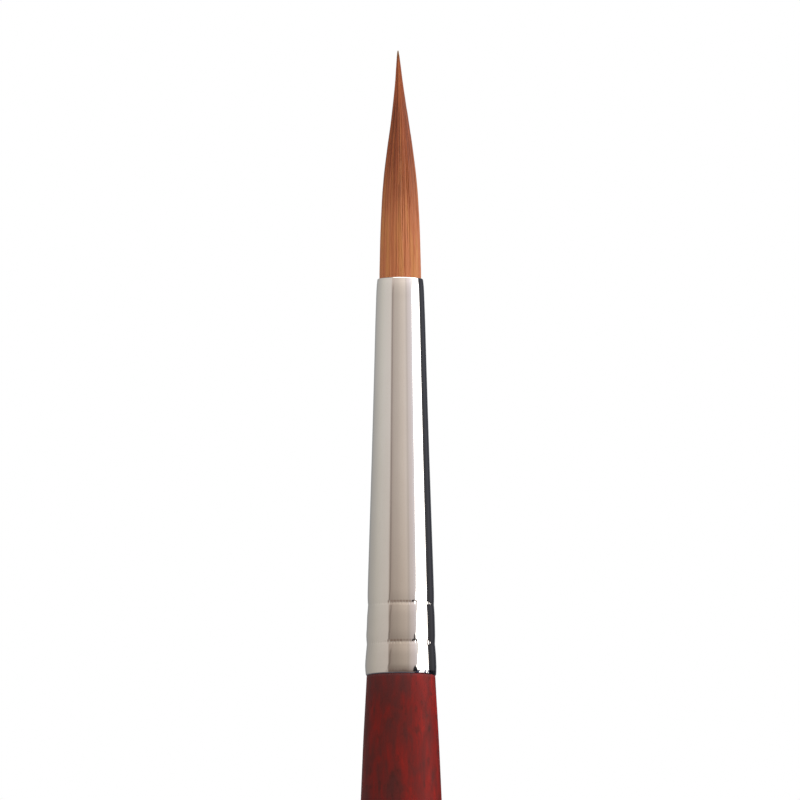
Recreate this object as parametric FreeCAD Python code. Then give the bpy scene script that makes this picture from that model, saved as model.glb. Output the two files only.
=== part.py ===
"""Fine detail brush: a round, pointed hair brush for model making.

A turned and lacquered wooden handle ends in a tenon.  A seamless, nickel
plated ferrule is glued and double crimped onto that tenon.  The hair tuft is
tied with thread, wedged into the ferrule from behind and locked by a plug of
setting resin.  The tuft bends in use, so it is divided along its length into
slices that nest in each other as spherical cups, each turning about the
centre of the dome beneath it.

Frame: millimetres, +Z along the brush axis towards the hair's point, origin
on the axis at the middle of the grip, where the handle is thickest.
"""
import FreeCAD, Part
import math
import os

V = FreeCAD.Vector

# ---------------------------------------------------------------- dimensions
total_length = 190.0        # tail to hair point
hair_out = 15.13            # hair length outside the ferrule
ferrule_length = 26.2       # end to end
grip_radius = 2.90          # handle at its thickest
grip_length = 6.0           # cylindrical stretch of the handle
grip_to_ferrule = 22.5      # middle of the grip to the ferrule's lower end
tail_radius = 1.25          # handle just before its rounded tail
shoulder_radius = 2.255     # handle where it meets the ferrule
tenon_length = 12.0         # wood inside the ferrule
ferrule_wall = 0.20         # sheet thickness
mouth_bore_radius = 1.39    # ferrule's opening, where the hair leaves
mouth_bore_length = 1.5     # straight stretch behind the opening
crimp_depth = 0.06          # each crimp, measured on the radius
crimp_groove = 0.026        # part of that depth made by the toothed wheel alone
crimp_positions = (2.12, 4.75)  # above the ferrule's lower end
fit_gap = 0.01              # between pieces that are glued or crimped together
glue_film = 0.07            # adhesive between the tenon and the ferrule
hair_gap = 0.01             # hair to ferrule
hair_root_length = 9.4      # hair held inside the ferrule
thread_diameter = 0.14      # binding thread
thread_turns = 6
slice_gap = 0.03            # running gap between nested hair slices
dome_ratio = 1.20           # dome radius over the hair's radius at its rim
# height of each bending centre above the ferrule's mouth
bend_heights = (1.6, 3.8, 6.0, 8.2, 10.2, 12.0)

# ------------------------------------------------------------ key elevations
z_end = grip_to_ferrule                 # ferrule's lower end
z_mouth = z_end + ferrule_length        # ferrule's mouth
z_tip = z_mouth + hair_out              # hair point
z_tail = z_tip - total_length           # tail of the handle
z_tenon = z_end + tenon_length          # top of the tenon

# ferrule outside: (distance below the mouth, radius), crimps left out
FERRULE_OUT = [
    (0.17, 1.514), (0.30, 1.525), (0.57, 1.549), (0.90, 1.570), (1.50, 1.593),
    (2.81, 1.638), (4.13, 1.674), (5.45, 1.709), (6.77, 1.747), (8.09, 1.784),
    (9.41, 1.823), (10.73, 1.863), (12.04, 1.903), (13.36, 1.946),
    (14.68, 1.988), (16.00, 2.030), (17.32, 2.073), (18.64, 2.116),
    (19.96, 2.157), (21.00, 2.187), (22.00, 2.213), (23.00, 2.239),
    (24.00, 2.268), (25.00, 2.306), (25.60, 2.328), (26.08, 2.340),
]

# hair outside the ferrule: (height above the mouth, radius)
HAIR_OUT = [(h * hair_out / 15.0, r) for h, r in [
    (0.00, 1.380), (0.40, 1.378), (1.20, 1.362), (1.85, 1.346), (2.50, 1.330),
    (3.15, 1.311), (3.80, 1.285), (4.45, 1.252), (5.10, 1.213), (5.80, 1.164),
    (6.45, 1.107), (7.10, 1.040), (7.75, 0.960), (8.40, 0.874), (9.05, 0.784),
    (9.75, 0.684), (10.40, 0.592), (11.05, 0.503), (11.70, 0.418),
    (12.35, 0.332), (13.00, 0.256), (13.70, 0.186), (14.35, 0.122),
    (14.80, 0.078), (15.00, 0.050),
]]


def interpolate(table, x):
    """Straight-line reading of a table of (x, y), held at its ends."""
    if x <= table[0][0]:
        return table[0][1]
    for (x0, y0), (x1, y1) in zip(table, table[1:]):
        if x <= x1:
            return y0 + (y1 - y0) * (x - x0) / (x1 - x0)
    return table[-1][1]


def crimp_dip(d):
    """How far both crimps push the sheet in at a distance d below the mouth.

    Each is a wide shallow valley with the narrow groove of the wheel in it.
    """
    dip = 0.0
    for p in crimp_positions:
        t = d - (ferrule_length - p)
        dip += (crimp_depth - crimp_groove) * math.exp(-(t / 0.45) ** 2)
        dip += crimp_groove * math.exp(-(t / 0.12) ** 2)
    return dip


def ferrule_outer(d):
    return interpolate(FERRULE_OUT, d) - crimp_dip(d)


def ferrule_inner(d):
    if d <= mouth_bore_length:
        return mouth_bore_radius
    return max(mouth_bore_radius, ferrule_outer(d) - ferrule_wall)


def hair_radius(h):
    return interpolate(HAIR_OUT, h)


def pt(r, z):
    return V(r, 0, z)


def curve(points, first=None, last=None):
    """A smooth edge through (r, z) points in the XZ plane."""
    b = Part.BSplineCurve()
    p = [pt(r, z) for r, z in points]
    if first is not None and last is not None:
        b.interpolate(Points=p, InitialTangent=V(first[0], 0, first[1]),
                      FinalTangent=V(last[0], 0, last[1]))
    else:
        b.interpolate(Points=p)
    return b.toShape()


def line(a, b):
    return Part.LineSegment(pt(*a), pt(*b)).toShape()


def arc(a, m, b):
    return Part.Arc(pt(*a), pt(*m), pt(*b)).toShape()


def turned(edges):
    """Solid of revolution about Z from a closed chain of edges in XZ."""
    wire = Part.Wire(Part.__sortEdges__(edges))
    face = Part.Face(wire)
    solid = face.revolve(V(0, 0, 0), V(0, 0, 1), 360)
    if solid.ShapeType != "Solid":
        solid = Part.makeSolid(solid.Shells[0]) if solid.Shells else solid
    if solid.Volume < 0:
        solid.reverse()
    return solid


# ------------------------------------------------------------------- handle
def inner_at(z):
    """Inside radius of the ferrule at elevation z."""
    return ferrule_inner(z_mouth - z)


def make_handle():
    edges = []
    half = grip_length / 2.0
    # rounded tail
    tail_r, z_dome = tail_radius, z_tail + 1.15
    edges.append(curve([(0.0, z_tail), (0.62, z_tail + 0.17),
                        (1.06, z_tail + 0.55), (tail_r, z_dome)],
                       first=(1.0, 0.0), last=(0.03, 1.0)))
    # long taper from the tail up to the grip
    edges.append(curve([(tail_r, z_dome), (1.33, -117.0), (1.60, -101.0),
                        (1.99, -77.0), (2.37, -52.0), (2.70, -27.5),
                        (2.85, -13.0), (grip_radius, -half)],
                       first=(0.013, 1.0), last=(0.0, 1.0)))
    edges.append(line((grip_radius, -half), (grip_radius, half)))
    # swelling between the grip and the ferrule
    edges.append(curve([(grip_radius, half), (2.842, 8.2), (2.737, 12.0),
                        (2.612, 15.5), (2.490, 18.2), (2.345, 20.8),
                        (shoulder_radius, z_end - 0.06)],
                       first=(0.0, 1.0), last=(-0.055, 1.0)))
    s = shoulder_radius - 0.05
    edges.append(arc((shoulder_radius, z_end - 0.06),
                     (shoulder_radius - 0.016, z_end - 0.018), (s, z_end)))
    # tenon: close to the ferrule at the crimps, then slimmer for the glue
    step = z_end + 6.2
    low = [(inner_at(z) - fit_gap, z) for z in
           [z_end + k * (step - z_end) / 88.0 for k in range(89)]]
    edges.append(line((s, z_end), low[0]))
    edges.append(curve(low))
    slim = glue_film + 2 * fit_gap
    edges.append(line(low[-1], (inner_at(step) - slim, step)))
    up = [(inner_at(z) - slim, z) for z in
          [step + k * (z_tenon - 0.4 - step) / 8.0 for k in range(9)]]
    edges.append(curve(up))
    edges.append(line(up[-1], (up[-1][0] - 0.4, z_tenon)))
    edges.append(line((up[-1][0] - 0.4, z_tenon), (0.0, z_tenon)))
    edges.append(line((0.0, z_tenon), (0.0, z_tail)))
    return turned(edges)


# ------------------------------------------------------------------ ferrule
def make_ferrule():
    outer = []
    d = 0.17
    while d < 25.55:
        outer.append((ferrule_outer(d), z_mouth - d))
        near = min(abs(d - (ferrule_length - p)) for p in crimp_positions)
        d += 0.05 if near < 0.4 else (0.10 if near < 1.2 else (0.13 if d < 0.6 else 0.30))
    outer.append((ferrule_outer(26.08), z_end + 0.12))
    inner = []
    d = mouth_bore_length
    while d < ferrule_length - 0.10:
        inner.append((ferrule_inner(d), z_mouth - d))
        near = min(abs(d - (ferrule_length - p)) for p in crimp_positions)
        d += 0.05 if near < 0.4 else (0.10 if near < 1.2 else 0.30)
    inner.append((ferrule_inner(ferrule_length), z_end))
    edges = [
        # rounded mouth
        arc((mouth_bore_radius, z_mouth - 0.05), (mouth_bore_radius + 0.035, z_mouth),
            (mouth_bore_radius + 0.075, z_mouth - 0.045)),
        line((mouth_bore_radius + 0.075, z_mouth - 0.045), outer[0]),
        curve(outer),
        # edge turned slightly in at the lower end
        arc(outer[-1], (outer[-1][0] - 0.022, z_end + 0.035),
            (outer[-1][0] - 0.07, z_end)),
        line((outer[-1][0] - 0.07, z_end), inner[-1]),
        curve(inner),
        line((mouth_bore_radius, z_mouth - mouth_bore_length),
             (mouth_bore_radius, z_mouth - 0.05)),
    ]
    return turned(edges)


# --------------------------------------------------- adhesive, resin, thread
def make_glue():
    """Adhesive film round the tenon's upper part, with its squeezed-out bead."""
    lo, hi = z_end + 6.2 + 0.02, z_tenon - 0.39
    zs = [lo + k * (hi - lo) / 8.0 for k in range(9)]
    out = [(inner_at(z) - fit_gap, z) for z in zs]
    inn = [(inner_at(z) - fit_gap - glue_film, z) for z in zs]
    top_in = (inn[-1][0] - 0.36, z_tenon + 0.02)
    top_out = (inner_at(z_tenon + 0.55) - fit_gap, z_tenon + 0.55)
    edges = [
        line(inn[0], out[0]), curve(out), line(out[-1], top_out),
        curve([top_out, (top_out[0] - 0.12, z_tenon + 0.26),
               (top_in[0] + 0.10, z_tenon + 0.07), top_in]),
        line(top_in, inn[-1]), curve(inn),
    ]
    return turned(edges)


z_root = z_mouth - hair_root_length     # butt end of the hair
z_thread = z_root + 2.35                # middle of the binding


def root_radius(z):
    """Hair inside the ferrule: even at the mouth, waisted by the thread, flared at the butt."""
    table = [(z_root, 1.50), (z_root + 0.8, 1.46), (z_thread - 0.62, 1.40),
             (z_thread - 0.45, 1.355), (z_thread + 0.45, 1.355),
             (z_thread + 0.62, 1.385), (z_thread + 1.4, 1.40),
             (z_mouth - 2.6, mouth_bore_radius - hair_gap),
             (z_mouth, mouth_bore_radius - hair_gap)]
    return interpolate(table, z)


def make_resin():
    """Setting resin: a plug behind the hair with a skirt up round its butt end."""
    lo, top = z_root - 1.15, z_thread - 0.68
    out = [(inner_at(z) - fit_gap, z) for z in
           [lo + k * (top - lo) / 6.0 for k in range(7)]]
    inn = [(root_radius(z) + fit_gap, z) for z in
           [z_root - fit_gap, z_root + 0.4, z_root + 0.8, top]]
    inn[0] = (root_radius(z_root) + fit_gap, z_root - fit_gap)
    edges = [
        # meniscus on the back of the plug
        curve([(0.0, lo + 0.30), (0.7, lo + 0.24), out[0]],
              first=(1.0, 0.0), last=(0.8, -0.6)),
        curve(out), line(out[-1], inn[-1]), line(inn[-1], inn[-2]),
        line(inn[-2], inn[-3]), line(inn[-3], inn[0]),
        line(inn[0], (0.0, inn[0][1])), line((0.0, inn[0][1]), (0.0, lo + 0.30)),
    ]
    return turned(edges)


def make_thread():
    """Turns of binding thread lying side by side round the waist of the hair."""
    r = thread_diameter / 2.0
    turns = []
    for k in range(thread_turns):
        z = z_thread + (k - (thread_turns - 1) / 2.0) * (thread_diameter + 0.005)
        turns.append(Part.makeTorus(1.355 + r + 0.004, r, V(0, 0, z), V(0, 0, 1)))
    return Part.makeCompound(turns)


# --------------------------------------------------------------------- hair
def rim(k, gap=0.0):
    """Where the k-th dome (or the cup over it, with a gap) meets the hair's outside."""
    c = bend_heights[k]
    base = dome_radius(k) + gap
    lo, hi = c, c + base
    for _ in range(60):
        h = (lo + hi) / 2.0
        if hair_radius(h) ** 2 + (h - c) ** 2 > base ** 2:
            hi = h
        else:
            lo = h
    return hair_radius(lo), lo


def dome_radius(k):
    """Dome radius: dome_ratio times the hair's radius at its own rim."""
    c = bend_heights[k]
    r = hair_radius(c)
    for _ in range(30):
        h = c + math.sqrt(dome_ratio ** 2 - 1.0) * r
        r = hair_radius(h)
    return dome_ratio * r


def outline(h0, h1):
    """Hair outside between two heights, as (r, z)."""
    hs = [h0] + [h for h, _ in HAIR_OUT if h0 + 0.12 < h < h1 - 0.12] + [h1]
    return [(hair_radius(h), z_mouth + h) for h in hs]


def dome_edge(k, gap=0.0):
    r, h = rim(k, gap)
    c, big = bend_heights[k], dome_radius(k) + gap
    a = math.asin(min(1.0, r / big)) / 2.0
    return arc((r, z_mouth + h), (big * math.sin(a), z_mouth + c + big * math.cos(a)),
               (0.0, z_mouth + c + big)), (r, h), c + big


def make_heel():
    """Hair held in the ferrule and the first stretch outside it, up to dome 0."""
    top, (r, h), apex = dome_edge(0)
    zs = [z_root, z_root + 0.8, z_thread - 0.62, z_thread - 0.45, z_thread + 0.45,
          z_thread + 0.62, z_thread + 1.4, z_mouth - 2.6, z_mouth]
    low = [(root_radius(z), z) for z in zs]
    edges = [line((0.0, z_root), low[0])]
    edges += [line(a, b) for a, b in zip(low, low[1:])]
    edges.append(curve(outline(0.0, h)))
    edges += [top, line((0.0, z_mouth + apex), (0.0, z_root))]
    return turned(edges)


def make_slice(k):
    """Hair between the cup over dome k - 1 and dome k, or the point."""
    cup, (r0, h0), a0 = dome_edge(k - 1, slice_gap)
    if k < len(bend_heights):
        top, (r1, h1), a1 = dome_edge(k)
        edges = [cup, curve(outline(h0, h1)), top,
                 line((0.0, z_mouth + a1), (0.0, z_mouth + a0))]
    else:
        tip = HAIR_OUT[-1]
        out = outline(h0, tip[0] - 0.03)
        edges = [cup, curve(out),
                 arc(out[-1], (out[-1][0] * 0.72, z_tip - 0.008), (0.0, z_tip)),
                 line((0.0, z_tip), (0.0, z_mouth + a0))]
    return turned(edges)


def main():
    os.makedirs("parts", exist_ok=True)
    pieces = {
        "handle": make_handle(),
        "ferrule": make_ferrule(),
        "handle_glue": make_glue(),
        "setting_resin": make_resin(),
        "binding_thread": make_thread(),
        "tuft_heel": make_heel(),
    }
    names = ["tuft_lower_belly", "tuft_upper_belly", "tuft_shoulder",
             "tuft_taper", "tuft_neck", "tuft_point"]
    for k, name in enumerate(names, 1):
        pieces[name] = make_slice(k)
    for name, shape in pieces.items():
        box = shape.BoundBox
        print("%-18s %-9s valid %s solids %d volume %.3f z %.3f..%.3f r %.3f" % (
            name, shape.ShapeType, shape.isValid(), len(shape.Solids),
            shape.Volume, box.ZMin, box.ZMax, box.XMax))
        shape.exportStep("parts/%s.step" % name)
    for k, c in enumerate(bend_heights):
        print("bend centre %d z %.3f dome %.3f" % (k + 1, z_mouth + c, dome_radius(k)))


main()
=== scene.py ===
import bpy
import math
import numpy as np
from mathutils import Matrix, Vector


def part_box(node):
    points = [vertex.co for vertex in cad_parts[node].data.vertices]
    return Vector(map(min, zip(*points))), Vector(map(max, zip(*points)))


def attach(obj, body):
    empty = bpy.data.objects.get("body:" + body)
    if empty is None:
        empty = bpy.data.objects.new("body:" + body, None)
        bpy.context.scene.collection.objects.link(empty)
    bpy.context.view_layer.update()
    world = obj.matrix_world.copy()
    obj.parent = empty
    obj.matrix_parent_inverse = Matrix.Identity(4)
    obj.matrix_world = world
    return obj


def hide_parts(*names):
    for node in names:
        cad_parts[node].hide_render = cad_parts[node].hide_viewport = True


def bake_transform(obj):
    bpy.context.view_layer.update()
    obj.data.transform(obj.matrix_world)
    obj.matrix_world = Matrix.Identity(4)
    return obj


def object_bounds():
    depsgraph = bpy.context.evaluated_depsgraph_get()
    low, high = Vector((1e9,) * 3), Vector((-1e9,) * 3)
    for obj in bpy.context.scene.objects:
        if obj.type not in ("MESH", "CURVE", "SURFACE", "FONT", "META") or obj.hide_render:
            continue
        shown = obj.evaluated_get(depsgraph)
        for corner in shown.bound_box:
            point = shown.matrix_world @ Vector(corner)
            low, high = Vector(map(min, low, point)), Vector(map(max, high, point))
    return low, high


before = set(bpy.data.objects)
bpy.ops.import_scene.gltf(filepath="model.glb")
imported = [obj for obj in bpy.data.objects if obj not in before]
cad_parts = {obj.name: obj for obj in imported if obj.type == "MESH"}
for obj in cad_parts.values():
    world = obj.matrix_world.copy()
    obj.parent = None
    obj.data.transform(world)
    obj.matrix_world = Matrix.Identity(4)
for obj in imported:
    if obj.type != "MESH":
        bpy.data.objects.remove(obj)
cad_lo, cad_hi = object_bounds()

# ------------------------------------------------------------------ elevations
MM = 0.001
Z_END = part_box("ferrule")[0].z / MM        # ferrule's lower end
Z_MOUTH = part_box("ferrule")[1].z / MM      # ferrule's mouth
Z_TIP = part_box("tuft_point")[1].z / MM     # hair point
Z_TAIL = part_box("handle")[0].z / MM        # tail of the handle
Z_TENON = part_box("handle")[1].z / MM       # top of the tenon
Z_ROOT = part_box("tuft_heel")[0].z / MM     # butt end of the hair
FERRULE_LENGTH = Z_MOUTH - Z_END

# hair outside the ferrule: (height above the mouth, radius), in mm
HAIR = np.array([
    (0.00, 1.378), (0.40, 1.376), (1.20, 1.358), (1.85, 1.343), (2.50, 1.327),
    (3.15, 1.306), (3.80, 1.281), (4.45, 1.247), (5.10, 1.210), (5.80, 1.162),
    (6.45, 1.105), (7.10, 1.039), (7.75, 0.957), (8.40, 0.872), (9.05, 0.783),
    (9.75, 0.680), (10.40, 0.588), (11.05, 0.500), (11.70, 0.414),
    (12.35, 0.330), (13.00, 0.252), (13.70, 0.184), (14.35, 0.120),
    (14.80, 0.070), (15.00, 0.042)])
# ferrule outside: (distance below the mouth, radius)
FERRULE = np.array([
    (0.17, 1.515), (0.30, 1.531), (0.57, 1.554), (0.90, 1.572), (1.50, 1.593),
    (2.81, 1.638), (4.13, 1.674), (5.45, 1.709), (6.77, 1.747), (8.09, 1.784),
    (9.41, 1.823), (10.73, 1.863), (12.04, 1.903), (13.36, 1.946),
    (14.68, 1.988), (16.00, 2.030), (17.32, 2.073), (18.64, 2.116),
    (19.96, 2.157), (21.00, 2.187), (22.00, 2.213), (23.00, 2.239),
    (24.00, 2.268), (25.00, 2.306), (25.60, 2.328), (26.08, 2.340)])
CRIMPS = (2.12, 4.70)                      # above the ferrule's lower end
BORE = 1.39


HAIR[:, 0] *= (Z_TIP - Z_MOUTH) / 15.0


def smooth(table, x):
    """Catmull-Rom reading of a table of (x, y)."""
    x = np.asarray(x, float)
    xs, ys = table[:, 0], table[:, 1]
    m = np.gradient(ys, xs)
    i = np.clip(np.searchsorted(xs, x) - 1, 0, len(xs) - 2)
    h = xs[i + 1] - xs[i]
    t = np.clip((x - xs[i]) / h, 0, 1)
    return ((2 * t**3 - 3 * t**2 + 1) * ys[i] + (t**3 - 2 * t**2 + t) * h * m[i]
            + (-2 * t**3 + 3 * t**2) * ys[i + 1] + (t**3 - t**2) * h * m[i + 1])


def dip(d, deep, wide):
    """Sum of both crimps' valleys at a distance d below the mouth."""
    d = np.asarray(d, float)
    return sum(deep * np.exp(-(((d - (FERRULE_LENGTH - p)) / wide) ** 2)) for p in CRIMPS)


def hair_radius(h):
    return smooth(HAIR, h)


def lean(h):
    """Sideways drift of the tuft's middle: the point leans a little to -X."""
    return -0.112 * np.clip((np.asarray(h, float) - 9.7) / 5.2, 0, 1.1) ** 1.5


# ---------------------------------------------------------------- mesh helpers
def new_object(name, verts, faces, sharp=None, attributes=None, smooth_faces=True):
    """A mesh object from millimetre vertices. sharp marks edges by a test on vertex index pairs."""
    me = bpy.data.meshes.new(name)
    me.from_pydata((np.asarray(verts, float) * MM).tolist(), [], faces)
    me.polygons.foreach_set("use_smooth", [smooth_faces] * len(me.polygons))
    if sharp is not None:
        ev = np.zeros(len(me.edges) * 2, np.int32)
        me.edges.foreach_get("vertices", ev)
        me.edges.foreach_set("use_edge_sharp", sharp(ev.reshape(-1, 2)))
    for key, (kind, data) in (attributes or {}).items():
        at = me.attributes.new(key, kind, "POINT")
        at.data.foreach_set("vector" if kind == "FLOAT_VECTOR" else "value",
                            np.asarray(data, np.float32).ravel())
    me.update()
    ob = bpy.data.objects.new(name, me)
    bpy.context.scene.collection.objects.link(ob)
    return ob


def turned(name, profile, segments, closed=False, offset=None, sharp_at=()):
    """Surface of revolution about Z. profile is (r, z) in mm; a zero radius at an end is a pole.
    offset(theta, r, z) moves the surface along its radius."""
    profile = np.asarray(profile, float)
    th = np.linspace(0, 2 * np.pi, segments, endpoint=False)
    verts, rings = [], []
    for r, z in profile:
        if r < 1e-7:
            rings.append([len(verts)] * segments)
            verts.append((0, 0, z))
        else:
            rr = r + (offset(th, r, z) if offset else 0.0) * np.ones(segments)
            rings.append(list(range(len(verts), len(verts) + segments)))
            verts += list(zip(rr * np.cos(th), rr * np.sin(th), [z] * segments))
    faces = []
    pairs = list(zip(range(len(rings) - 1), range(1, len(rings))))
    if closed:
        pairs.append((len(rings) - 1, 0))
    for a, b in pairs:
        A, B = rings[a], rings[b]
        for i in range(segments):
            j = (i + 1) % segments
            f = [A[i], A[j], B[j], B[i]]
            if A[i] == A[j]:
                f = [A[i], B[j], B[i]]
            elif B[i] == B[j]:
                f = [A[i], A[j], B[i]]
            faces.append(f)
    marks = None
    if sharp_at:
        ring_of = np.zeros(len(verts), int)
        for k, ring in enumerate(rings):
            ring_of[ring] = k
        wanted = np.zeros(len(rings), bool)
        wanted[list(sharp_at)] = True

        def marks(ev):
            a, b = ring_of[ev[:, 0]], ring_of[ev[:, 1]]
            return (a == b) & wanted[a]
    return new_object(name, verts, faces, sharp=marks)


# ------------------------------------------------------------ material helpers
def lin(*c):
    return tuple(((x / 255) / 12.92 if x <= 10 else ((x / 255 + 0.055) / 1.055) ** 2.4) for x in c)


class Nodes:
    """Short-hand for building a node tree."""

    def __init__(self, tree):
        self.t = tree
        tree.nodes.clear()

    def add(self, kind, inputs=None, **props):
        n = self.t.nodes.new(kind)
        for k, v in props.items():
            setattr(n, k, v)
        for k, v in (inputs or {}).items():
            s = n.inputs[k]
            if isinstance(v, bpy.types.NodeSocket):
                self.t.links.new(v, s)
            else:
                s.default_value = v
        return n

    def math(self, op, a, b=0.0, c=0.0, clamp=False):
        n = self.add("ShaderNodeMath", operation=op, use_clamp=clamp)
        for i, v in enumerate((a, b, c)):
            if isinstance(v, bpy.types.NodeSocket):
                self.t.links.new(v, n.inputs[i])
            else:
                n.inputs[i].default_value = v
        return n.outputs[0]

    def ramp(self, fac, stops, interpolation="LINEAR"):
        n = self.add("ShaderNodeValToRGB", {"Fac": fac})
        n.color_ramp.interpolation = interpolation
        e = n.color_ramp.elements
        while len(e) < len(stops):
            e.new(0.5)
        for el, (p, c) in zip(e, stops):
            el.position = p
        for el, (p, c) in zip(e, stops):
            el.color = (*c, 1.0) if len(c) == 3 else c
        return n.outputs["Color"]

    def span(self, v, a, b, lo=0.0, hi=1.0, kind="SMOOTHSTEP"):
        n = self.add("ShaderNodeMapRange", {"Value": v, "From Min": a, "From Max": b,
                                            "To Min": lo, "To Max": hi}, interpolation_type=kind)
        return n.outputs["Result"]

    def mix(self, fac, a, b, blend="MIX"):
        n = self.add("ShaderNodeMix", data_type="RGBA", blend_type=blend)
        for s, v in ((n.inputs[0], fac), (n.inputs[6], a), (n.inputs[7], b)):
            if isinstance(v, bpy.types.NodeSocket):
                self.t.links.new(v, s)
            else:
                s.default_value = v if not isinstance(v, tuple) or len(v) == 4 else (*v, 1.0)
        return n.outputs[2]

    def noise(self, vector, scale, detail=3.0, rough=0.5, lac=2.0, distortion=0.0):
        return self.add("ShaderNodeTexNoise", {"Vector": vector, "Scale": scale, "Detail": detail,
                                               "Roughness": rough, "Lacunarity": lac,
                                               "Distortion": distortion}).outputs["Fac"]

    def scaled(self, vector, s):
        return self.add("ShaderNodeMapping", {"Vector": vector, "Scale": s}).outputs["Vector"]


def material(name):
    m = bpy.data.materials.new(name)
    m.use_nodes = True
    n = Nodes(m.node_tree)
    out = n.add("ShaderNodeOutputMaterial")
    p = n.add("ShaderNodeBsdfPrincipled")
    m.node_tree.links.new(p.outputs[0], out.inputs["Surface"])
    return m, n, p


def link(n, a, b):
    n.t.links.new(a, b)


def set_material(ob, m):
    ob.data.materials.clear()
    ob.data.materials.append(m)


# ----------------------------------------------------------- handle's material
def handle_material():
    m, n, p = material("stained_wood_lacquer")
    co = n.add("ShaderNodeTexCoord").outputs["Object"]
    mm = n.scaled(co, (1000.0, 1000.0, 1000.0))
    broad = n.noise(n.scaled(mm, (0.42, 0.42, 0.10)), 1.0, 2.0, 0.5)
    blotch = n.noise(n.scaled(mm, (1.5, 1.5, 0.50)), 1.0, 4.0, 0.55, distortion=0.4)
    grain = n.noise(n.scaled(mm, (7.0, 7.0, 0.45)), 1.0, 3.0, 0.6)
    fleck = n.noise(n.scaled(mm, (2.1, 2.1, 1.1)), 1.0, 4.0, 0.6)
    tone = n.math("ADD", n.math("MULTIPLY", broad, 0.36),
                  n.math("ADD", n.math("MULTIPLY", blotch, 0.50), n.math("MULTIPLY", grain, 0.15)))
    # painted shade: the -X side of the shoulder is darkened and the +X side lightened a little, standing in for the
    # side turned from the light
    xyz = n.add("ShaderNodeSeparateXYZ", {"Vector": mm})
    left_side_shade = n.math("MULTIPLY", n.span(xyz.outputs["X"], 1.5, -0.7, 0.0, 0.125),
                   n.span(xyz.outputs["Z"], -2.0, 10.0))
    tone = n.math("SUBTRACT", tone, n.math("SUBTRACT", left_side_shade, n.span(xyz.outputs["Z"], -2.0, 10.0, 0.0, 0.05)))
    tone = n.span(tone, 0.34, 0.66, kind="LINEAR")
    colour = n.ramp(tone, [
        (0.00, (0.068, 0.0180, 0.0170)), (0.30, (0.094, 0.0168, 0.0152)),
        (0.55, (0.132, 0.0148, 0.0128)), (0.80, (0.182, 0.0140, 0.0113)),
        (1.00, (0.238, 0.0145, 0.0115))])
    dark = n.span(fleck, 0.53, 0.72, 0.0, 0.60)
    colour = n.mix(dark, colour, (0.050, 0.0150, 0.0130, 1.0))
    # painted reflection: a pale bluish sheen on the lacquer just below the ferrule's lip, fading out over the top two
    # millimetres
    lip_reflection = n.math("ADD", n.span(xyz.outputs["Z"], Z_END - 0.16, Z_END - 0.01, 0.0, 0.16),
                     n.span(xyz.outputs["Z"], Z_END - 2.2, Z_END - 0.2, 0.0, 0.05))
    colour = n.mix(n.math("MULTIPLY", lip_reflection, n.span(fleck, 0.2, 0.6, 0.6, 1.0)), colour,
                   (0.150, 0.080, 0.092, 1.0))
    link(n, colour, p.inputs["Base Color"])
    rough = n.span(n.noise(n.scaled(mm, (2.5, 2.5, 1.2)), 1.0, 3.0, 0.5), 0.3, 0.7, 0.42, 0.54)
    link(n, rough, p.inputs["Roughness"])
    p.inputs["Specular IOR Level"].default_value = 0.045
    height = n.math("ADD", n.math("MULTIPLY", grain, 0.30),
                    n.math("MULTIPLY", n.noise(mm, 1.3, 2.0), 1.0))
    height = n.math("SUBTRACT", height, n.math("MULTIPLY", dark, 0.30))
    bump = n.add("ShaderNodeBump", {"Height": height, "Strength": 0.20, "Distance": 0.00003})
    link(n, bump.outputs[0], p.inputs["Normal"])
    return m


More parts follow.
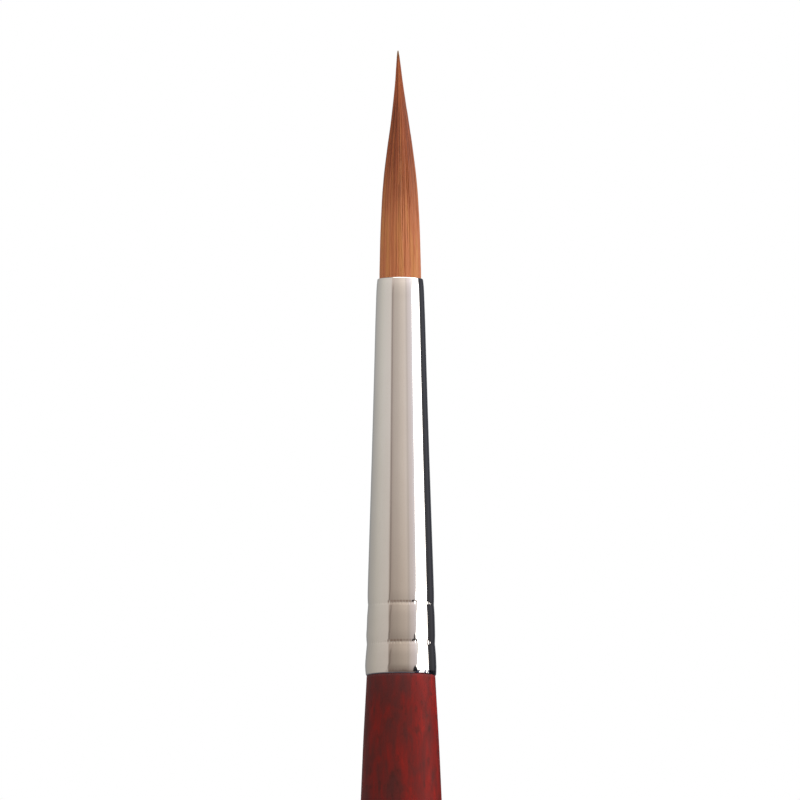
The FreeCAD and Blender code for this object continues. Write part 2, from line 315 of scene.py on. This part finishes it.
# ---------------------------------------------------------- ferrule's material
def ferrule_material():
    m, n, p = material("polished_nickel")
    co = n.add("ShaderNodeTexCoord").outputs["Object"]
    mm = n.scaled(co, (1000.0, 1000.0, 1000.0))
    z = n.add("ShaderNodeSeparateXYZ", {"Vector": mm}).outputs["Z"]
    # base colour a little darker towards the crimps, with a faint cloudy film
    along = n.span(z, Z_END, Z_MOUTH, kind="LINEAR")
    film = n.noise(n.scaled(mm, (0.8, 0.8, 0.35)), 1.0, 4.0, 0.6)
    fine = n.noise(n.scaled(mm, (14.0, 14.0, 0.6)), 1.0, 2.0, 0.5)
    shade = n.math("ADD", n.math("MULTIPLY", along, 0.70),
                   n.math("ADD", n.math("MULTIPLY", film, 0.22), n.math("MULTIPLY", fine, 0.08)))
    colour = n.ramp(shade, [(0.15, (0.640, 0.585, 0.535)), (0.30, (0.680, 0.632, 0.583)),
                            (0.68, (0.780, 0.745, 0.712)), (0.95, (0.780, 0.742, 0.700))])
    # painted reflection: a dimmer reflection painted into the base colour on the middle strip of the ±Y faces, darkest
    # at the crimped end
    x = n.add("ShaderNodeSeparateXYZ", {"Vector": mm}).outputs["X"]
    front = n.math("MULTIPLY", n.span(x, -0.88, -0.76), n.span(x, 0.58, 0.46))
    up = n.math("DIVIDE", n.math("SUBTRACT", z, Z_END), 14.0, clamp=True)
    dimmed_reflection = n.ramp(up, [(0.00, (0.735, 0.725, 0.705)), (0.055, (0.780, 0.770, 0.745)),
                         (0.38, (0.930, 0.915, 0.895)), (0.85, (1.0, 1.0, 1.0))])
    colour = n.mix(front, colour, n.mix(1.0, colour, dimmed_reflection, "MULTIPLY"))
    # a darker bluish band above the cut edge, then a painted dark reflection in a thin line along the edge
    cloud = n.span(n.noise(n.scaled(mm, (2.0, 2.0, 1.0)), 1.0, 3.0), 0.25, 0.55, 0.6, 1.0)
    edge_band = n.math("MULTIPLY", n.span(z, Z_END + 0.44, Z_END + 0.12, 0.0, 0.22), n.span(x, -0.90, -0.70))
    colour = n.mix(n.math("MULTIPLY", edge_band, cloud), colour, (0.230, 0.240, 0.290, 1.0))
    # painted reflection: the thin dark bluish line along the cut edge stands in for the dark ground and shade it
    # reflects
    edge_dark_reflection = n.math("MULTIPLY", n.span(z, Z_END + 0.150, Z_END + 0.085, 0.0, 0.80), cloud)
    colour = n.mix(edge_dark_reflection, colour, (0.110, 0.105, 0.165, 1.0))
    nicks = n.span(n.noise(n.scaled(mm, (4.6, 4.6, 3.2)), 1.0, 1.0), 0.485, 0.535)
    nicks = n.math("MAXIMUM", nicks, n.span(x, 1.74, 1.82, 0.0, 0.75))
    nicks = n.math("MULTIPLY", nicks, n.span(z, Z_END + 0.36, Z_END + 0.25))
    nicks = n.math("MULTIPLY", nicks, n.math("MULTIPLY", n.span(x, 0.82, 0.96), n.span(z, Z_END + 3.0, Z_END + 2.9)))
    colour = n.mix(nicks, colour, (0.020, 0.022, 0.040, 1.0))
    link(n, colour, p.inputs["Base Color"])
    p.inputs["Metallic"].default_value = 1.0
    scratches = n.noise(n.scaled(mm, (3.0, 3.0, 90.0)), 1.0, 2.0, 0.6)
    smear = n.noise(n.scaled(mm, (1.5, 1.5, 0.8)), 1.0, 4.0, 0.6)
    rough = n.math("ADD", n.span(smear, 0.35, 0.75, 0.045, 0.085),
                   n.span(scratches, 0.55, 0.8, 0.0, 0.05))
    link(n, rough, p.inputs["Roughness"])
    bump = n.add("ShaderNodeBump", {"Height": n.math("ADD", n.math("MULTIPLY", scratches, 0.4), fine),
                                    "Strength": 0.04, "Distance": 0.00001})
    link(n, bump.outputs[0], p.inputs["Normal"])
    return m


# -------------------------------------------------------------- hair material
def hair_material():
    m, n, p = material("sable_hair")
    tone = n.add("ShaderNodeAttribute", attribute_name="tone").outputs["Fac"]
    height = n.add("ShaderNodeAttribute", attribute_name="height").outputs["Fac"]
    shaded_core = n.add("ShaderNodeAttribute", attribute_name="shaded_core").outputs["Fac"]
    rest = n.add("ShaderNodeAttribute", attribute_name="rest").outputs["Vector"]
    streak = n.noise(n.scaled(rest, (9.0, 9.0, 0.35)), 1.0, 3.0, 0.6)
    patch = n.noise(n.scaled(rest, (1.1, 1.1, 0.22)), 1.0, 2.0, 0.5)
    t = n.math("ADD", n.math("MULTIPLY", tone, 0.55),
               n.math("ADD", n.math("MULTIPLY", streak, 0.25), n.math("MULTIPLY", patch, 0.20)))
    belly = n.ramp(t, [(0.18, (0.390, 0.124, 0.0470)), (0.40, (0.422, 0.141, 0.056)),
                       (0.60, (0.455, 0.165, 0.070)), (0.82, (0.495, 0.205, 0.088))])
    upper = n.ramp(t, [(0.18, (0.087, 0.0193, 0.0066)), (0.40, (0.190, 0.0420, 0.0128)),
                       (0.60, (0.278, 0.0690, 0.0218)), (0.82, (0.378, 0.134, 0.0385))])
    gold = n.span(n.noise(n.scaled(rest, (3.4, 3.4, 0.22)), 1.0, 2.0, 0.5), 0.48, 0.66, 0.0, 0.50)
    belly = n.mix(gold, belly, (0.490, 0.222, 0.066, 1.0))
    up = n.span(height, 0.14, 0.58)
    colour = n.mix(up, belly, upper)
    boost = n.span(height, 0.70, 0.90, 1.0, 1.27)
    boost = n.add("ShaderNodeCombineColor", {"Red": boost, "Green": boost, "Blue": boost}).outputs[0]
    colour = n.mix(1.0, colour, boost, "MULTIPLY")
    colour = n.mix(n.span(height, 0.955, 1.0), colour, (0.26, 0.13, 0.030, 1.0))
    # painted shade: the core is darkened to stand for the shade deep inside the tuft
    colour = n.mix(n.math("MULTIPLY", shaded_core, 0.35), colour, (0.085, 0.026, 0.012, 1.0))
    link(n, colour, p.inputs["Base Color"])
    link(n, n.span(streak, 0.3, 0.7, 0.38, 0.50), p.inputs["Roughness"])
    p.inputs["Specular IOR Level"].default_value = 0.28
    bump = n.add("ShaderNodeBump", {"Height": n.noise(n.scaled(rest, (25.0, 25.0, 8.0)), 1.0, 2.0),
                                    "Strength": 0.15, "Distance": 0.000005})
    link(n, bump.outputs[0], p.inputs["Normal"])
    return m


def plain_material(name, low, high, rough, scale, bump_by=0.1, metres=True):
    """A material whose colour runs between two tones with fine noise."""
    m, n, p = material(name)
    co = n.add("ShaderNodeTexCoord").outputs["Object"]
    mm = n.scaled(co, (1000.0, 1000.0, 1000.0))
    f = n.noise(mm, scale, 4.0, 0.6)
    link(n, n.ramp(f, [(0.3, low), (0.7, high)]), p.inputs["Base Color"])
    link(n, n.span(f, 0.3, 0.7, rough * 0.9, rough * 1.1), p.inputs["Roughness"])
    b = n.add("ShaderNodeBump", {"Height": f, "Strength": bump_by, "Distance": 0.00002})
    link(n, b.outputs[0], p.inputs["Normal"])
    return m


# ----------------------------------------------------------------- the handle
HANDLE = np.array([
    (-126.30 + 1.15, 1.250), (-121.0, 1.292), (-117.0, 1.345), (-109.0, 1.470), (-101.0, 1.600),
    (-89.0, 1.795), (-77.0, 1.990), (-64.5, 2.183), (-52.0, 2.370),
    (-39.5, 2.545), (-27.5, 2.698), (-20.0, 2.783), (-13.0, 2.848), (-8.0, 2.882), (-3.0, 2.9),
    (0.0, 2.9), (3.0, 2.9), (5.5, 2.884), (8.2, 2.843), (10.0, 2.798), (12.0, 2.737),
    (14.0, 2.670), (15.54, 2.606), (16.86, 2.548), (18.18, 2.488), (19.50, 2.419),
    (20.82, 2.344), (21.6, 2.301), (22.2, 2.268), (22.40, 2.256)])


def make_handle():
    prof = [(0.0, Z_TAIL)]
    for a in np.linspace(6, 84, 14):      # rounded tail
        s, c = math.sin(math.radians(a)), math.cos(math.radians(a))
        prof.append((1.250 * s ** 0.92, Z_TAIL + 1.15 * (1 - c)))
    zs = np.concatenate([np.arange(-125.15, -10.0, 1.25), np.arange(-10.0, 22.35, 0.45), [22.455]])
    prof += [(float(smooth(HANDLE, z)), float(z)) for z in zs]
    prof += [(2.250, Z_END - 0.020), (2.247, Z_END + 0.030), (2.228, Z_END + 0.062), (2.196, Z_END + 0.075)]
    sharp = [len(prof) - 1]
    step = Z_END + 6.2
    inner = lambda z: inner_radius(Z_MOUTH - z)
    prof += [(inner(z) - 0.012, z) for z in np.linspace(Z_END + 0.076, step, 50)]
    sharp += [len(prof) - 50, len(prof) - 1]
    prof += [(inner(z) - 0.092, z) for z in np.linspace(step, Z_TENON - 0.4, 9)]
    sharp += [len(prof) - 9, len(prof) - 1]
    prof += [(prof[-1][0] - 0.4, Z_TENON), (0.0, Z_TENON)]
    sharp += [len(prof) - 2]
    ob = turned("lacquered_handle", prof, 192, sharp_at=sharp)
    set_material(ob, handle_material())
    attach(ob, "handle")
    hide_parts("handle")
    return ob


# ---------------------------------------------------------------- the ferrule
def outer_radius(d):
    """The wheel pressed the lower crimp a little deeper than the upper one."""
    upper = 0.0085 * np.exp(-(((np.asarray(d, float) - (FERRULE_LENGTH - CRIMPS[1])) / 0.46) ** 2))
    return smooth(FERRULE, d) - dip(d, 0.030, 0.46) - dip(d, 0.0082, 0.105) + upper


def inner_radius(d):
    """Inside of the ferrule, as the CAD has it, with the crimps bulging inwards."""
    d = float(d)
    if d <= 1.5:
        return BORE
    return max(BORE, float(smooth(FERRULE, d) - dip(d, 0.034, 0.45) - dip(d, 0.026, 0.12)) - 0.20)


def make_ferrule():
    L = FERRULE_LENGTH
    prof = []
    # rolled mouth, from the bore over the rim to the outside
    c_r, c_d, a, b = BORE + 0.056, 0.055, 0.056, 0.055
    for t in np.linspace(180, 14, 15):
        prof.append((c_r + a * math.cos(math.radians(t)), Z_MOUTH - c_d + b * math.sin(math.radians(t))))
    r_top, d_top = prof[-1][0], Z_MOUTH - prof[-1][1]
    # outside, closely spaced at the crimps
    d, out = d_top + 0.02, []
    while d < L - 0.65:
        out.append(d)
        near = min(abs(d - (L - p)) for p in CRIMPS)
        d += (0.020 if near < 0.22 else 0.04 if near < 0.40 else 0.12 if near < 1.3
              else 0.035 if d < 0.6 else 0.12 if d < 2 else 0.45)
    for d in out:
        r = float(outer_radius(max(d, 0.17)))
        if d < 0.17:
            r = r_top + (r - r_top) * ((d - d_top) / (0.17 - d_top)) ** 0.8
        prof.append((r, Z_MOUTH - d))
    # lower edge: the sheet turns in over its last half millimetre
    start = L - 0.61
    r0 = float(outer_radius(start))
    turn = [(0.0, 0.000), (0.04, -0.0002), (0.08, -0.0008), (0.12, -0.0019), (0.16, -0.0032),
            (0.24, -0.0064), (0.32, -0.0104), (0.40, -0.0158), (0.45, -0.0208), (0.48, -0.0260),
            (0.500, -0.0318), (0.520, -0.0400), (0.535, -0.0490), (0.545, -0.0575), (0.550, -0.0640)]
    for dd, dr in turn:
        prof.append((r0 + dr, Z_MOUTH - (start + dd)))
    d, inn = L - 0.07, []
    while d > 1.5:
        inn.append(d)
        near = min(abs(d - (L - p)) for p in CRIMPS)
        d -= 0.16 if near < 0.5 else 0.6
    prof += [(inner_radius(d), Z_MOUTH - d) for d in inn]
    prof += [(BORE, Z_MOUTH - 1.5), (BORE, Z_MOUTH - 0.8)]
    teeth = 68
    rng = np.random.default_rng(31)
    bumps = [(rng.uniform(0, 2 * math.pi), rng.uniform(0.0, 6.6), rng.uniform(0.35, 0.9),
              rng.uniform(0.10, 0.24), rng.uniform(-1, 1)) for _ in range(150)]
    tooth_depth = 0.45 + 1.1 * rng.random((2, teeth))

    def shape(th, r, z):
        """Teeth of the crimping wheel, and the slight unevenness of the sheet round them."""
        zz = z - Z_END
        if zz > 8.0 or r < float(inner_radius(Z_MOUTH - z)) + 0.05:
            return 0.0 * th
        total = np.zeros_like(th)
        for k, p in enumerate(CRIMPS):
            if abs(zz - p) < 0.34:
                cell = np.floor((th / (2 * np.pi) * teeth + 0.5) % teeth).astype(int)
                drop = 0.035 * (tooth_depth[k][cell] - 1.0)
                w = np.exp(-(((zz - p + drop) / 0.115) ** 2))
                wave = (0.5 + 0.5 * np.cos(teeth * th)) ** 1.2
                bite = 1 + 1.2 * np.exp(-(((th + 0.50 + math.pi) % (2 * math.pi) - math.pi) / 0.50) ** 2)
                total -= 0.0078 * w * wave * bite * tooth_depth[k][cell]
        # the sheet bellies out a little between the crimps on the -X side
        side = np.exp(-((((th - math.pi) + math.pi) % (2 * math.pi) - math.pi) / 0.60) ** 2)
        total += side * (0.026 * math.exp(-(((zz - 2.65) / 0.42) ** 2)) + 0.026 * math.exp(-(((zz - 0.80) / 0.55) ** 2))
                         - 0.022 * math.exp(-(((zz - 4.50) / 0.45) ** 2)))
        for t0, z0, wz, wt, amp in bumps:
            dz = (zz - z0) / wz
            if abs(dz) < 2.6:
                dt = (th - t0 + math.pi) % (2 * math.pi) - math.pi
                fade = min(1.0, zz / 0.5)
                total += 0.0016 * amp * fade * math.exp(-dz * dz) * np.exp(-(dt / wt) ** 2)
        if zz < 0.34:      # small burrs along the cut edge, rougher along one stretch
            rough = 1 + 1.6 * np.exp(-(((th + 0.72 + math.pi) % (2 * math.pi) - math.pi) / 0.42) ** 2)
            total += 0.0055 * rough * (1 - zz / 0.34) ** 1.3 * (np.sin(23 * th + 1.3) * np.sin(41 * th) +
                                                                0.6 * np.sin(67 * th + 0.4))
        return total
    ob = turned("nickel_ferrule", prof[::-1], teeth * 6, closed=True, offset=shape,
                sharp_at=[len(inn) + 2])
    set_material(ob, ferrule_material())
    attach(ob, "handle")
    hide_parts("ferrule")
    return ob


# ------------------------------------------------------------------- the hair
def root_radius(z):
    zt = Z_ROOT + 2.35
    t = np.array([(Z_ROOT, 1.495), (Z_ROOT + 0.8, 1.455), (zt - 0.62, 1.395), (zt - 0.45, 1.350),
                  (zt + 0.45, 1.350), (zt + 0.62, 1.380), (zt + 1.4, 1.395),
                  (Z_MOUTH - 2.6, 1.378), (Z_MOUTH, 1.378)])
    return np.interp(z, t[:, 0], t[:, 1])


CUTS = (2.8, 4.8, 7.2, 9.2, 11.2)
HAIR_PIECES = [
    ("hair_base", ["tuft_heel"]), ("hair_lower_belly", ["tuft_lower_belly"]),
    ("hair_upper_belly", ["tuft_upper_belly"]), ("hair_shoulder", ["tuft_shoulder"]),
    ("hair_taper", ["tuft_taper"]), ("hair_point", ["tuft_neck", "tuft_point"])]


def make_hair():
    rng = np.random.default_rng(882)
    hair_len = Z_TIP - Z_MOUTH
    root = np.array([Z_ROOT - Z_MOUTH, -8.6, -7.68, -7.5, -6.6, -6.42, -5.6, -2.6, -0.4])
    levels = np.concatenate([root, np.round(np.arange(0.0, 15.001, 0.2), 3)])
    levels[-1] = hair_len
    env = np.where(levels < 0, root_radius(levels + Z_MOUTH), hair_radius(np.maximum(levels, 0)))
    scale = np.minimum(env / env[len(root)], 1.0)
    drift = np.where(levels > 0, lean(levels), 0.0)
    first_out = len(root)
    hairs = []
    for layer, (count, left_side_shade, depth, spread) in enumerate([
            (150, 0.080, 0.000, 0.016), (140, 0.078, 0.020, 0.020),
            (120, 0.082, 0.045, 0.025), (80, 0.090, 0.075, 0.03), (50, 0.100, 0.14, 0.05)]):
        for i in range(count):
            theta = 2 * math.pi * (i + rng.uniform(-0.32, 0.32)) / count + 0.37 * layer
            d0 = left_side_shade * rng.uniform(0.78, 1.22)
            sink = depth + spread * rng.random()
            q = rng.random()
            end = hair_len * (1.0 if q < 0.10 else 0.995 - 0.28 * rng.random() ** 1.3 if q < 0.66
                              else 0.74 - 0.24 * rng.random())
            if layer >= 3:
                end = hair_len * (0.93 - 0.35 * rng.random())
            slope = rng.normal(0, 0.0065) * (1 if rng.random() < 0.8 else 2.2)
            wav, lam, ph = rng.uniform(0.0, 0.018), rng.uniform(5, 12), rng.uniform(0, 6.28)
            wav2, lam2, ph2 = rng.uniform(0.0, 0.012), rng.uniform(4, 9), rng.uniform(0, 6.28)
            tone = float(np.clip(rng.normal(0.5, 0.24), 0, 1))
            last = int(np.searchsorted(levels, end, side="right") - 1)
            start = 0 if layer < 3 else first_out - 2
            hairs.append((theta, d0, sink, end, slope, wav, lam, ph, wav2, lam2, ph2, tone, start, last))
    bounds_ix = [0] + [int(np.argmin(abs(levels - c))) for c in CUTS] + [len(levels) - 1]
    sides = 6
    ring = np.linspace(0, 2 * np.pi, sides, endpoint=False)
    made = []
    mat = hair_material()
    for k, (name, nodes) in enumerate(HAIR_PIECES):
        lo, hi = bounds_ix[k], bounds_ix[k + 1]
        V, F, tone_a, height_a, core_a = [], [], [], [], []
        caps = []
        base = 0
        for (theta, d0, sink, end, slope, wav, lam, ph, wav2, lam2, ph2, tone, start, last) in hairs:
            a, b = max(start, lo), min(last, hi)
            if b - a < 1:
                continue
            h = levels[a:b + 1]
            s, R = scale[a:b + 1], env[a:b + 1]
            taper = np.clip((end + 0.12 - h) / 3.4, 0.0, 1.0) ** 0.62
            rad = 0.5 * d0 * s ** 0.52 * (0.16 + 0.84 * taper)
            hh = np.maximum(h, 0)
            th = theta + slope * hh + wav * np.sin(hh / lam * 6.283 + ph) * np.minimum(hh / 2, 1)
            sk = sink + wav2 * (0.5 + 0.5 * np.sin(hh / lam2 * 6.283 + ph2)) * np.minimum(hh / 2, 1)
            r = (R - rad) * (1 - sk)
            cx, cy = r * np.cos(th) + drift[a:b + 1], r * np.sin(th)
            # stubby ring of vertices for each level, turned so that one side faces outwards
            ang = ring[None, :] + th[:, None]
            vx = cx[:, None] + rad[:, None] * np.cos(ang)
            vy = cy[:, None] + rad[:, None] * np.sin(ang)
            vz = np.repeat((h + Z_MOUTH)[:, None], sides, 1)
            n = len(h)
            V.append(np.stack([vx, vy, vz], -1).reshape(-1, 3))
            idx = base + np.arange(n * sides).reshape(n, sides)
            A, B = idx[:-1], idx[1:]
            F.append(np.stack([A, np.roll(A, -1, 1), np.roll(B, -1, 1), B], -1).reshape(-1, 4))
            caps.append(idx[0][::-1])
            caps.append(idx[-1])
            tone_a.append(np.full(n * sides, tone))
            height_a.append(np.repeat(np.maximum(h, 0) / hair_len, sides))
            core_a.append(np.zeros(n * sides))
            base += n * sides
        # bundle core behind the modelled hairs, darkened in its material as painted shade inside the tuft
        cs = 72
        cring = np.linspace(0, 2 * np.pi, cs, endpoint=False)
        core_top = len(levels) - 1
        a, b = lo, min(hi, core_top)
        if b > a:
            h = levels[a:b + 1]
            r = env[a:b + 1] * (0.93 - 0.05 * np.clip(h / 8, 0, 1)) - 0.012 * np.clip(1 - h / 6, 0, 1)
            if b == core_top:
                r[-1] *= 0.3
            vx = r[:, None] * np.cos(cring) + drift[a:b + 1][:, None]
            vy = r[:, None] * np.sin(cring)
            vz = np.repeat((h + Z_MOUTH)[:, None], cs, 1)
            n = len(h)
            V.append(np.stack([vx, vy, vz], -1).reshape(-1, 3))
            idx = base + np.arange(n * cs).reshape(n, cs)
            A, B = idx[:-1], idx[1:]
            F.append(np.stack([A, np.roll(A, -1, 1), np.roll(B, -1, 1), B], -1).reshape(-1, 4))
            caps.append(idx[0][::-1])
            caps.append(idx[-1])
            tone_a.append(np.full(n * cs, 0.4))
            height_a.append(np.repeat(np.maximum(h, 0) / hair_len, cs))
            core_a.append(np.ones(n * cs))
            base += n * cs
        verts = np.concatenate(V)
        faces = np.concatenate(F).tolist() + [list(map(int, c)) for c in caps]
        cap_edges = set()
        for c in caps:
            c = [int(x) for x in c]
            cap_edges.update((min(x, y), max(x, y)) for x, y in zip(c, c[1:] + c[:1]))
        keys = np.array([x * 10**7 + y for x, y in cap_edges])

        def marks(ev, keys=keys):
            lo_, hi_ = ev.min(1).astype(np.int64), ev.max(1).astype(np.int64)
            return np.isin(lo_ * 10**7 + hi_, keys)
        ob = new_object(name, verts, faces, sharp=marks, attributes={
            "tone": ("FLOAT", np.concatenate(tone_a)), "height": ("FLOAT", np.concatenate(height_a)),
            "shaded_core": ("FLOAT", np.concatenate(core_a)), "rest": ("FLOAT_VECTOR", verts)})
        set_material(ob, mat)
        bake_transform(ob)
        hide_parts(*nodes)
        made.append(ob)
        print(name, "faces", len(faces), "triangles", sum(len(f) - 2 for f in faces))
    return made


# -------------------------------------------------------- pieces kept from CAD
def dress_inner_nodes():
    glue = plain_material("cured_adhesive", (0.62, 0.50, 0.27), (0.78, 0.68, 0.44), 0.40, 2.5)
    resin = plain_material("setting_resin_amber", (0.16, 0.075, 0.020), (0.27, 0.135, 0.040), 0.18, 1.6, 0.04)
    thread = plain_material("binding_thread_waxed", (0.50, 0.45, 0.35), (0.72, 0.68, 0.58), 0.75, 18.0, 0.5)
    for node, m in (("handle_glue", glue), ("setting_resin", resin), ("binding_thread", thread)):
        set_material(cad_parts[node], m)


# ---------------------------------------------------------------------- stage
def make_floor():
    z = cad_lo.z / MM
    n = 96
    th = np.linspace(0, 2 * np.pi, n, endpoint=False)
    verts, faces = [(0, 0, z)], []
    radii = [60, 160, 400, 900, 2000]
    for r in radii:
        verts += [(r * math.cos(t), r * math.sin(t), z) for t in th]
    for i in range(n):
        faces.append([0, 1 + i, 1 + (i + 1) % n])
    for k in range(len(radii) - 1):
        a, b = 1 + k * n, 1 + (k + 1) * n
        for i in range(n):
            j = (i + 1) % n
            faces.append([a + i, b + i, b + j, a + j])
    ob = new_object("floor", verts, faces)
    m, nn, p = material("pale_floor")
    co = nn.add("ShaderNodeTexCoord").outputs["Object"]
    f = nn.noise(co, 6.0, 3.0, 0.5)
    link(nn, nn.ramp(f, [(0.3, (0.80, 0.80, 0.79)), (0.7, (0.84, 0.84, 0.83))]), p.inputs["Base Color"])
    p.inputs["Roughness"].default_value = 0.8
    set_material(ob, m)
    ob.visible_glossy = False
    ob.visible_diffuse = False


def make_world():
    """A studio: grey walls, one tall white panel to the right, a dark flag behind it and a bright ceiling."""
    w = bpy.data.worlds.new("studio")
    bpy.context.scene.world = w
    w.use_nodes = True
    n = Nodes(w.node_tree)
    out = n.add("ShaderNodeOutputWorld")
    d = n.add("ShaderNodeTexCoord").outputs["Generated"]
    xyz = n.add("ShaderNodeSeparateXYZ", {"Vector": d})
    x, y, z = xyz.outputs
    az = n.math("MULTIPLY", n.math("ARCTAN2", x, n.math("MULTIPLY", y, -1.0)), 180 / math.pi)
    base = (0.74, 0.70, 0.655)
    table = [(-180, (128, 126, 124)), (-155, (140, 138, 134)), (-142, (156, 152, 146)), (-113, (171, 166, 158)),
             (-94, (183, 177, 167)), (-77, (190, 183, 174)), (-49, (195, 186, 177)), (-43.0, (195, 185, 177)),
             (-41.0, (166, 153, 143)), (-31, (167, 153, 143)), (-24, (173, 161, 150)), (-12, (178, 165, 154)),
             (0, (188, 175, 163)), (12, (196, 182, 170)), (21, (200, 187, 176)), (29, (184, 172, 163)),
             (34, (197, 185, 179)), (45, (205, 193, 189)), (53, (214, 206, 206)), (57, (225, 218, 218)),
             (99, (170, 170, 170)), (104, (56, 56, 59)), (118, (64, 64, 67)), (132, (73, 73, 78)),
             (146, (52, 52, 57)), (160, (68, 68, 73)), (168, (118, 118, 116)), (180, (128, 126, 124))]
    stops = [((a + 180) / 360, tuple(min(v / b, 1.0) for v, b in zip(lin(*c), base))) for a, c in table]
    pos = n.math("ADD", n.math("DIVIDE", az, 360.0), 0.5)
    walls = n.ramp(pos, stops)
    right = n.span(az, -43.0, -40.5)
    # lighter upwards, darker downwards
    dim = n.math("MULTIPLY", n.span(z, 0.17, 0.02, 0.0, 0.16, kind="LINEAR"),
                 n.math("ADD", n.math("MULTIPLY", right, 0.8), 0.2))
    grade = n.math("ADD", n.math("SUBTRACT", 1.0, dim),
                   n.math("MULTIPLY", n.span(z, 0.17, 0.31, 0.0, 0.31, kind="LINEAR"),
                          n.math("ADD", n.math("MULTIPLY", right, 0.75), 0.25)))
    gcol = n.add("ShaderNodeCombineColor", {"Red": grade, "Green": grade, "Blue": grade}).outputs[0]
    walls = n.mix(1.0, walls, gcol, "MULTIPLY")
    # the flag behind the panel is darker towards its top
    flag = n.math("MULTIPLY", n.span(az, 99.0, 104.0), n.span(az, 166.0, 158.0))
    flag = n.math("MULTIPLY", flag, n.span(z, 0.155, 0.27, 0.0, 0.42, kind="LINEAR"))
    walls = n.mix(flag, walls, (0.008, 0.008, 0.011, 1.0))
    # the dark upright seen left of the middle
    lean_az = n.math("SUBTRACT", az, n.math("MULTIPLY", n.math("SUBTRACT", z, 0.16), 38.0))
    line = n.math("SUBTRACT", 1.0, n.math("DIVIDE", n.math("ABSOLUTE", n.math("ADD", lean_az, 36.6)), 4.2), clamp=True)
    line = n.math("MULTIPLY", line, n.span(z, 0.27, 0.20))
    walls = n.mix(n.math("MULTIPLY", line, 0.42), walls, (0.05, 0.035, 0.030, 1.0))
    # above: dim on the left and behind, a bright ceiling in front on the right
    front = n.span(y, 0.30, -0.25)
    above = n.mix(right, (LEFT_UP, LEFT_UP * 0.98, LEFT_UP * 0.95, 1.0),
                  (CEILING, CEILING * 0.96, CEILING * 0.91, 1.0))
    above = n.mix(n.math("MULTIPLY", n.span(z, 0.60, 0.74), n.math("SUBTRACT", 1.0, right)), above,
                  (0.10, 0.10, 0.10, 1.0))
    above = n.mix(n.span(z, 0.80, 0.97), above, (CEILING * 0.8, CEILING * 0.77, CEILING * 0.73, 1.0))
    above = n.mix(front, (0.30, 0.30, 0.29, 1.0), above)
    walls = n.mix(n.span(z, 0.38, 0.60), walls, above)
    # white panel, its near edge leaning
    edge = n.math("SUBTRACT", az, n.math("MULTIPLY", n.math("SUBTRACT", n.math("MAXIMUM", z, 0.05), 0.16), 60.0))
    panel = n.math("MULTIPLY", n.span(edge, 55.6, 59.2), n.span(az, 103.5, 99.5))
    walls = n.mix(panel, walls, (PANEL, PANEL, PANEL, 1.0))
    # table edge and ground
    low = n.math("MULTIPLY", n.math("MULTIPLY", right, n.span(az, 74.0, 60.0)),
                 n.span(z, 0.040, -0.12, kind="LINEAR"))
    walls = n.mix(n.math("MULTIPLY", low, n.math("SUBTRACT", 1.0, panel)), walls, (0.310, 0.228, 0.195, 1.0))
    half = n.math("MULTIPLY", n.math("SUBTRACT", 0.075, z), 112.0)
    half = n.math("MINIMUM", half, 9.0)
    wedge = n.span(n.math("SUBTRACT", half, n.math("ABSOLUTE", n.math("SUBTRACT", az, 48.5))), 0.0, 2.5)
    wedge = n.math("MULTIPLY", wedge, n.span(z, -0.24, -0.18))
    walls = n.mix(wedge, walls, (0.026, 0.027, 0.034, 1.0))
    floor = [(-180, 0.36), (-120, 0.40), (-40, 0.46), (30, 0.49), (60, 0.54), (76, 0.74), (98, 0.74),
             (110, 0.24), (146, 0.20), (170, 0.33), (180, 0.36)]
    floor = n.ramp(pos, [((a + 180) / 360, (v, v * 0.98, v * 0.955)) for a, v in floor])
    walls = n.mix(n.span(z, -0.30, -0.46), walls, floor)
    lit = n.add("ShaderNodeBackground", {"Color": walls, "Strength": 1.0})
    seen = n.add("ShaderNodeBackground", {"Color": (1, 1, 1, 1), "Strength": 1.0})
    path = n.add("ShaderNodeLightPath")
    mixer = n.add("ShaderNodeMixShader", {0: path.outputs["Is Camera Ray"]})
    link(n, lit.outputs[0], mixer.inputs[1])
    link(n, seen.outputs[0], mixer.inputs[2])
    link(n, mixer.outputs[0], out.inputs["Surface"])


PANEL = 3.9
CEILING = 3.5
LEFT_UP = 0.56


def make_camera():
    elevation, distance = math.radians(-5.7), 1.0
    target = Vector((-0.000030, 0.0, 0.040718))
    back = Vector((0.0, -math.cos(elevation), math.sin(elevation)))
    cam = bpy.data.cameras.new("camera")
    ob = bpy.data.objects.new("camera", cam)
    bpy.context.scene.collection.objects.link(ob)
    cam.type = "PERSP"
    cam.sensor_width = 36.0
    cam.lens = 36.0 / 52.56 * distance * 1000
    cam.clip_start, cam.clip_end = 0.05, 50.0
    ob.location = target + back * distance
    roll = Matrix.Rotation(math.radians(ROLL), 4, "Z")
    ob.matrix_world = Matrix.Translation(ob.location) @ (-back).to_track_quat("-Z", "Y").to_matrix().to_4x4() @ roll
    bpy.context.scene.camera = ob


ROLL = -0.11

make_handle()
make_ferrule()
make_hair()
dress_inner_nodes()
make_floor()
make_world()
make_camera()
bpy.context.scene.view_settings.view_transform = "Standard"
bpy.context.scene.view_settings.look = "None"
